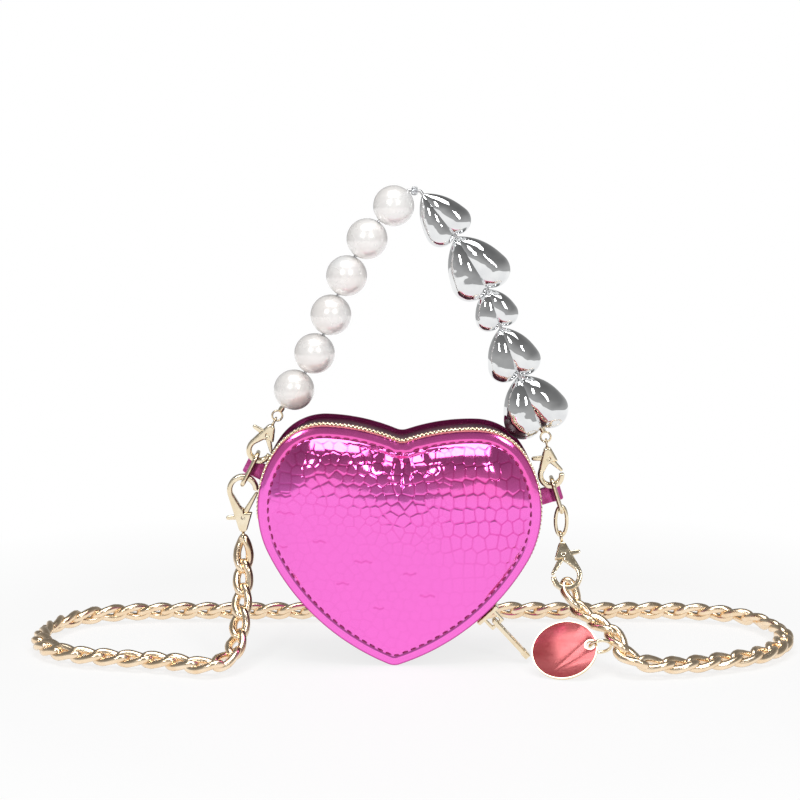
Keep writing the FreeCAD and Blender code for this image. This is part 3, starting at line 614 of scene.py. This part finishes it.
def embossPanel(piece, facing, outline, low, high):
    points = pointsOf(piece)
    inward = edgeDistance(points, outline)
    across = (points[:, 0] - (low.x + high.x) / 2) / mm
    down = (high.z - points[:, 2]) / mm
    # the seam pulls the border in, the notch draws the leather and leaves upright creases
    sink = panel["seamDepth"] * np.exp(-((inward - panel["seam"]) / panel["seamWidth"]) ** 2)
    inside = stepUp(inward, panel["border"], panel["border"] + 1.5)
    away = across ** 2 + (down - panel["drawDrop"]) ** 2
    sink += panel["draw"] * np.exp(-away / panel["drawSize"] ** 2) * inside
    for side, wide, long, deep in panel["creases"]:
        reach = (down - panel["creaseDrop"]) / long
        fold = np.exp(-((across - side * (0.5 + 0.5 * reach)) / wide) ** 2)
        sink += deep * fold * stepUp(reach, 0, 0.35) * (1 - stepUp(reach, 0.4, 1))
    # scales above and at the right, nearly plain with a few short marks below
    plain = stepUp(down - 0.35 * across, scales["plainFrom"], scales["plainBy"])
    shown = inside * (1 - scales["plainShare"] * plain)
    square = stepUp(across + 0.15 * down, scales["squareFrom"], scales["squareBy"])
    hexLines, hexSwell = scaleLines(across, down, **scales["hexes"])
    squareLines, squareSwell = scaleLines(across, down, **scales["squares"])
    lines = shown * (hexLines * (1 - square) + squareLines * square)
    swell = shown * (hexSwell * (1 - square) + squareSwell * square)
    for side, drop, long in scales["marks"]:
        level = drop + 0.3 * np.sin(across * 1.7 + drop)
        mark = np.exp(-((down - level) / scales["markWidth"]) ** 2) * (np.abs(across - side) < long / 2)
        lines = np.maximum(lines, scales["markShare"] * inside * mark)
    sink += scales["lineDepth"] * lines - scales["swell"] * swell
    points[:, 1] -= facing * sink * mm
    movePoints(piece, points)
    paintPoints(piece, "pressedLine", lines)
    # painted shade mask: full over the top of the panel, gone by about 14 to 30 mm down
    paintPoints(piece, "topShare", 1 - stepUp(down - 0.1 * across, 14, 30))
    paintPoints(piece, "rimShade", 0.8 * (1 - stepUp(inward, 0.1, 0.7)))


def closeRim(piece, facing):
    editAll(piece)
    bpy.ops.mesh.select_all(action="DESELECT")
    bpy.ops.mesh.select_non_manifold()
    bpy.ops.mesh.extrude_edges_move(TRANSFORM_OT_translate={"value": (0, -facing * panel["lip"] * mm, 0)})
    bpy.ops.mesh.edge_face_add()
    bpy.ops.mesh.select_all(action="SELECT")
    bpy.ops.mesh.normals_make_consistent(inside=False)
    editDone()


makePanel("frontPanel", -1, "front_panel", "front_foam", "lining_front")
makePanel("backPanel", 1, "back_panel", "back_foam", "lining_back")


# sewing round the panels

stitch = {"inset": 3.9, "pitch": 3.5, "length": 2.5, "thick": 0.55, "proud": -0.15}


def insetLoop(loop, inset):
    fine = walkLoop(loop, panel["outlineStep"] * mm)
    ahead = np.roll(fine, -3, axis=0) - np.roll(fine, 3, axis=0)
    area = np.sum(fine[:, 0] * np.roll(fine[:, 2], -1) - np.roll(fine[:, 0], -1) * fine[:, 2])
    inward = np.stack([-ahead[:, 2], 0 * ahead[:, 1], ahead[:, 0]], axis=1) * np.sign(area)
    return fine + inset * inward / np.linalg.norm(inward, axis=1, keepdims=True)


def makeStitches(name, nodeName, facing):
    low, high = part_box(nodeName)
    flangeY = high.y if facing < 0 else low.y
    edge = heartOutline(nodeName, flangeY + facing * panel["rim"] / 2 * mm)
    loop = insetLoop(edge, stitch["inset"] * mm)
    spots = walkLoop(loop, stitch["pitch"] * mm)
    pickNone()
    bpy.ops.mesh.primitive_uv_sphere_add(segments=8, ring_count=5, radius=0.5, rotation=(0, math.pi / 2, 0))
    model = bpy.context.object
    bpy.ops.object.transform_apply(rotation=True)
    editAll(model)
    bpy.ops.transform.resize(value=(stitch["length"] * mm, stitch["thick"] * mm, stitch["thick"] * mm))
    editDone()
    pieces = []
    for index, spot in enumerate(spots):
        along = spots[(index + 1) % len(spots)] - spots[index - 1]
        spot[1] = flangeY + facing * (panel["rim"] + stitch["proud"]) * mm
        copy = bpy.data.objects.new("stitch", model.data.copy())
        scene.collection.objects.link(copy)
        copy.data.transform(place(along, (0, 1, 0), spot))
        pieces.append(copy)
    bpy.data.objects.remove(model)
    finishPiece(joinAll(pieces, name), magentaThread, "bag")
    print(name, len(spots), "stitches")


makeStitches("frontStitches", "front_panel", -1)
makeStitches("backStitches", "back_panel", 1)


# gusset, tabs and zip

band = {"voxel": 0.7, "soften": 5, "crumple": 0.35, "crumpleSize": 9.0}
sideTab = {"voxel": 0.3, "soften": 4}
zipper = {"tapeEdge": 0.12, "toothEdge": 0.18, "toothFlat": 2, "edgeAngle": math.radians(40)}


def softCopy(name, voxel, soften, *nodeNames):
    piece = copyOf(name, *nodeNames)
    modify(piece, "REMESH", mode="VOXEL", voxel_size=voxel * mm)
    modify(piece, "SMOOTH", factor=0.5, iterations=soften)
    return piece


def makeGusset():
    piece = softCopy("gusset", band["voxel"], band["soften"], "gusset_strip")
    clouds = bpy.data.textures.new("bandCrumple", "CLOUDS")
    clouds.noise_scale = band["crumpleSize"] * mm
    modify(piece, "DISPLACE", texture=clouds, texture_coords="LOCAL",
           strength=band["crumple"] * mm, mid_level=0.5)
    finishPiece(piece, wineLeather, "bag", ["gusset_strip", "lining_band"])


makeGusset()
for side in ("left", "right"):
    tab = softCopy("tab" + side.capitalize(), sideTab["voxel"], sideTab["soften"], "tab_" + side)
    finishPiece(tab, tabLeather, "bag", ["tab_" + side])
for row in ("front", "back"):
    tape = copyOf("tape" + row.capitalize(), "zip_tape_" + row)
    modify(tape, "BEVEL", width=zipper["tapeEdge"] * mm, segments=2,
           limit_method="ANGLE", angle_limit=zipper["edgeAngle"])
    finishPiece(tape, coralTape, "bag", ["zip_tape_" + row], angle=40)
    teeth = copyOf("teeth" + row.capitalize(), "zip_teeth_" + row)
    editAll(teeth)
    bpy.ops.mesh.dissolve_limited(angle_limit=math.radians(zipper["toothFlat"]))
    editDone()
    modify(teeth, "BEVEL", width=zipper["toothEdge"] * mm, segments=1,
           limit_method="ANGLE", angle_limit=zipper["edgeAngle"])
    finishPiece(teeth, paleGold, "bag", ["zip_teeth_" + row], angle=60)
print("gusset, tabs and zip done")


# cast metal: clasps, slider and puller with rounded edges

casting = {"voxel": 0.22, "clasp": (12, 0.16), "slider": (5, 0.05), "lever": (4, 0.04)}  # softening, fill


def castCopy(nodeName, soften, fill):
    words = nodeName.split("_")
    name = words[0] + "".join(word.capitalize() for word in words[1:])
    piece = softCopy(name, casting["voxel"], soften, nodeName)
    modify(piece, "DISPLACE", strength=fill * mm, mid_level=0.0)  # gives back what the softening took
    finishPiece(piece, paleGold, bodyOf(nodeName), [nodeName])


for nodeName in ("zip_slider", "zip_puller"):
    castCopy(nodeName, *casting["slider"])
for nodeName in nodes:
    if nodeName.endswith(("clasp_left", "clasp_right")):
        castCopy(nodeName, *casting["clasp"])
    elif nodeName.endswith("_lever"):
        castCopy(nodeName, *casting["lever"])
print("castings done")


# beads

pearl = {"segments": 48, "rings": 32, "bore": 1.8}
heart = {"segments": 64, "rings": 48, "lobe": 0.29, "spread": 0.21, "fat": 2.6}


def beadFrame(jointName, nodeName):
    along = Vector(joints[jointName]["axis"]).normalized()
    side = Vector((0, 1, 0)).cross(along).normalized()
    turn = Matrix((side, Vector((0, 1, 0)), along)).transposed()
    local = np.array([turn.transposed() @ vert.co for vert in nodes[nodeName].data.vertices])
    return turn.to_4x4(), local.min(0), local.max(0)


def makePearl(number):
    nodeName = "pearl_bead_" + str(number)
    turn, low, high = beadFrame("pearl_" + str(number) + "_spin", nodeName)
    radius = (high[0] - low[0]) / 2
    middle = Vector((low + high) / 2)
    pickNone()
    bpy.ops.mesh.primitive_uv_sphere_add(segments=pearl["segments"], ring_count=pearl["rings"], radius=radius)
    piece = bpy.context.object
    piece.name = "pearl" + str(number)
    drillBead(piece, pearl["bore"] / 2 * mm, radius * 1.2)
    piece.data.transform(turn @ Matrix.Translation(middle))
    finishPiece(piece, ivoryPearl, "pearl_" + str(number), [nodeName], angle=50)


def drillBead(piece, radius, halfLength):
    pickNone()
    bpy.ops.mesh.primitive_cylinder_add(vertices=24, radius=radius, depth=2 * halfLength)
    drill = bpy.context.object
    modify(piece, "BOOLEAN", operation="DIFFERENCE", object=drill, solver="EXACT")
    bpy.data.objects.remove(drill)


def makeHeart(number):
    nodeName = "heart_bead_" + str(number)
    turn, low, high = beadFrame("heart_" + str(number) + "_turn", nodeName)
    lobe = heart["lobe"] * (high[0] - low[0])
    spread = heart["spread"] * (high[0] - low[0])
    rise = high[2] - low[2] - lobe
    reach = math.hypot(spread, rise)
    pickNone()
    bpy.ops.mesh.primitive_uv_sphere_add(segments=heart["segments"], ring_count=heart["rings"], radius=1)
    piece = bpy.context.object
    piece.name = "heart" + str(number)
    ways = pointsOf(piece)
    tail = np.maximum(np.arccos(np.clip(ways[:, 2], -1, 1)) / math.pi * 2 - 1, 0)  # 0 on the bulb to 1
    around = ways[:, :2] / np.maximum(np.linalg.norm(ways[:, :2], axis=1, keepdims=True), 1e-9)
    drop = np.column_stack([around * (lobe * (1 - tail ** heart["fat"]))[:, None], reach * (1 - tail)])
    movePoints(piece, np.where((ways[:, 2] > 0)[:, None], lobe * ways + (0, 0, reach), drop))
    piece.data.transform(Matrix.Rotation(math.atan2(spread, rise), 4, "Y"))
    editAll(piece)
    bpy.ops.mesh.bisect(plane_co=(0, 0, 0), plane_no=(1, 0, 0), clear_inner=True)
    editDone()
    modify(piece, "MIRROR", use_axis=(True, False, False), merge_threshold=0.01 * mm)
    middle = (low + high) / 2
    flat = (high[1] - low[1]) / (2 * lobe)  # as deep as the CAD bead
    piece.data.transform(Matrix.Diagonal((1, flat, 1, 1)))
    piece.data.transform(turn @ Matrix.Translation((middle[0], middle[1], low[2])))
    finishPiece(piece, mirrorChrome, "heart_" + str(number), [nodeName], angle=40)


for number in range(1, 7):
    makePearl(number)
for number in range(1, 6):
    makeHeart(number)
print("beads done")


# oval link and disc tag

oval = {"wire": 1.5}
tag = {"margin": 0.3, "thick": 0.3, "hole": 2.4, "sides": 64}


def makeOval():
    low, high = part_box("connector_ring")
    size = (high - low) / mm
    piece = ovalLink(size.z, size.x, oval["wire"])
    piece.name = "ovalRing"
    piece.data.transform(place((0, 0, 1), (0, 1, 0), (low + high) / 2))
    finishPiece(piece, paleGold, "bag", ["connector_ring"])


def makeTagFace():
    points = np.array([vert.co for vert in nodes["disc_charm"].data.vertices])
    middle = points.mean(0)
    spread, ways = np.linalg.eigh(np.cov((points - middle).T))
    normal = Vector(ways[:, 0])
    normal *= -1 if normal.y > 0 else 1  # towards the viewer
    across = normal.orthogonal().normalized()
    centre = sum((max(points @ way, key=float) + min(points @ way, key=float)) / 2 * way
                 for way in (np.array(normal), np.array(across), np.array(normal.cross(across))))
    radius = np.ptp(points @ np.array(across)) / 2
    thick = np.ptp(points @ np.array(normal))
    pickNone()
    faceRadius = radius - tag["margin"] * mm
    bpy.ops.mesh.primitive_cylinder_add(vertices=tag["sides"], radius=faceRadius, depth=tag["thick"] * mm)
    piece = bpy.context.object
    piece.name = "tagFace"
    piece.data.transform(place(across, normal, Vector(centre) + normal * thick / 2))
    pivot = Vector(joints["disc_swing"]["pos_m"])
    bpy.ops.mesh.primitive_cylinder_add(vertices=24, radius=tag["hole"] * mm, depth=10 * mm)
    drill = bpy.context.object
    drill.data.transform(place(across, normal, pivot))
    modify(piece, "BOOLEAN", operation="DIFFERENCE", object=drill, solver="EXACT")
    bpy.data.objects.remove(drill)
    modify(piece, "BEVEL", width=0.1 * mm, segments=2, limit_method="ANGLE", angle_limit=math.radians(40))
    finishPiece(piece, roseEnamel, "disc", angle=40)


makeOval()
makeTagFace()
print("oval link and tag done")


# metal and wire that keep the CAD shape

for nodeName, node in nodes.items():
    if node.hide_render:
        continue
    finish = paleGold
    if nodeName == "handle_cable" or nodeName.endswith("spring"):
        finish = steelWire
    if nodeName == "spacer_bead":
        finish = clearBead
    dressNode(nodeName, finish)
print("wires dressed")


# floor, light and background

studio = {"floorDrop": 0.2, "floorSize": 6.0, "floorColour": (0.93, 0.93, 0.93),
          "whiteNear": 0.8, "whiteFrom": 0.17, "whiteBy": 0.3, "tableEnd": 1.0, "tableFade": 0.25,
          "room": [(0.0, 0.42), (0.5, 0.22), (1.0, 0.12)]}  # height of the direction, brightness


def makeFloor():
    pickNone()
    level = cadBox[0].z - studio["floorDrop"] * mm
    bpy.ops.mesh.primitive_plane_add(size=studio["floorSize"], location=(0, 0, level))
    floor = bpy.context.object
    floor.name = "floor"
    bpy.ops.object.transform_apply(location=True)
    finish, shader = newFinish("paleFloor", studio["floorColour"], 0.0, 0.55)
    coords = addNode(finish, "ShaderNodeTexCoord")
    flat = addNode(finish, "ShaderNodeVectorMath", {1: (1, 1, 0)}, operation="MULTIPLY")
    far = addNode(finish, "ShaderNodeVectorMath", operation="LENGTH")
    white = addNode(finish, "ShaderNodeMapRange", {
        "From Min": studio["whiteFrom"], "From Max": studio["whiteBy"],
        "To Min": studio["whiteNear"], "To Max": 1.0})
    wire(finish, coords.outputs["Object"], flat.inputs[0])
    wire(finish, flat.outputs["Vector"], far.inputs[0])
    wire(finish, far.outputs["Value"], white.inputs["Value"])
    path = addNode(finish, "ShaderNodeLightPath")
    seen = addNode(finish, "ShaderNodeMath", operation="MAXIMUM")
    share = addNode(finish, "ShaderNodeMath", operation="MULTIPLY")
    wire(finish, path.outputs["Is Camera Ray"], seen.inputs[0])
    wire(finish, path.outputs["Is Glossy Ray"], seen.inputs[1])
    wire(finish, seen.outputs[0], share.inputs[0])
    wire(finish, white.outputs["Result"], share.inputs[1])
    tableGone = studio["tableEnd"] + studio["tableFade"]
    table = addNode(finish, "ShaderNodeMapRange", {"From Min": studio["tableEnd"], "From Max": tableGone,
                                                   "To Min": 1.0, "To Max": studio["room"][0][1]})
    bright = addNode(finish, "ShaderNodeMath", operation="MAXIMUM")
    wire(finish, far.outputs["Value"], table.inputs["Value"])
    wire(finish, table.outputs["Result"], bright.inputs[0])
    wire(finish, path.outputs["Is Camera Ray"], bright.inputs[1])
    glow = addNode(finish, "ShaderNodeEmission", {"Color": (1, 1, 1, 1)})
    wire(finish, bright.outputs[0], glow.inputs["Strength"])
    blendIn = addNode(finish, "ShaderNodeMixShader")
    wire(finish, share.outputs[0], blendIn.inputs["Fac"])
    wire(finish, shader.outputs["BSDF"], blendIn.inputs[1])
    wire(finish, glow.outputs["Emission"], blendIn.inputs[2])
    wire(finish, blendIn.outputs["Shader"], finish.node_tree.nodes["Material Output"].inputs["Surface"])
    floor.data.materials.append(finish)


def makeWorld():
    world = bpy.data.worlds.new("studioRoom")
    world.use_nodes = True
    scene.world = world
    background = world.node_tree.nodes["Background"]
    coords = addNode(world, "ShaderNodeTexCoord")
    split = addNode(world, "ShaderNodeSeparateXYZ")
    ramp = addNode(world, "ShaderNodeValToRGB")
    for index, (at, bright) in enumerate(studio["room"]):
        if index > 1:
            ramp.color_ramp.elements.new(at)
        ramp.color_ramp.elements[index].position = at
        ramp.color_ramp.elements[index].color = (bright, bright, bright, 1)
    path = addNode(world, "ShaderNodeLightPath")
    mix = addNode(world, "ShaderNodeMix", data_type="RGBA")
    mix.inputs[7].default_value = (1, 1, 1, 1)
    wire(world, coords.outputs["Generated"], split.inputs["Vector"])
    wire(world, split.outputs["Z"], ramp.inputs["Fac"])
    wire(world, path.outputs["Is Camera Ray"], mix.inputs[0])
    wire(world, ramp.outputs["Color"], mix.inputs[6])
    wire(world, mix.outputs[2], background.inputs["Color"])
    background.inputs["Strength"].default_value = 1.0


def softBox(name, place3, aim, size, power):
    bpy.ops.object.light_add(type="AREA", location=place3)
    lamp = bpy.context.object
    lamp.name = name
    lamp.rotation_euler = (Vector(aim) - Vector(place3)).to_track_quat("-Z", "Y").to_euler()
    lamp.data.shape = "RECTANGLE"
    lamp.data.size, lamp.data.size_y = size
    lamp.data.energy = power


makeFloor()
makeWorld()
softBox("topBox", (0, -0.25, 1.0), (0, 0, -0.1), (0.9, 0.6), 9)
softBox("leftBox", (-0.42, -0.88, 0.42), (0, 0, -0.1), (0.16, 0.3), 2.2)
softBox("rightBox", (0.42, -0.88, 0.42), (0, 0, -0.1), (0.16, 0.3), 2.2)
scene.view_settings.view_transform = "Standard"
print("studio ready")
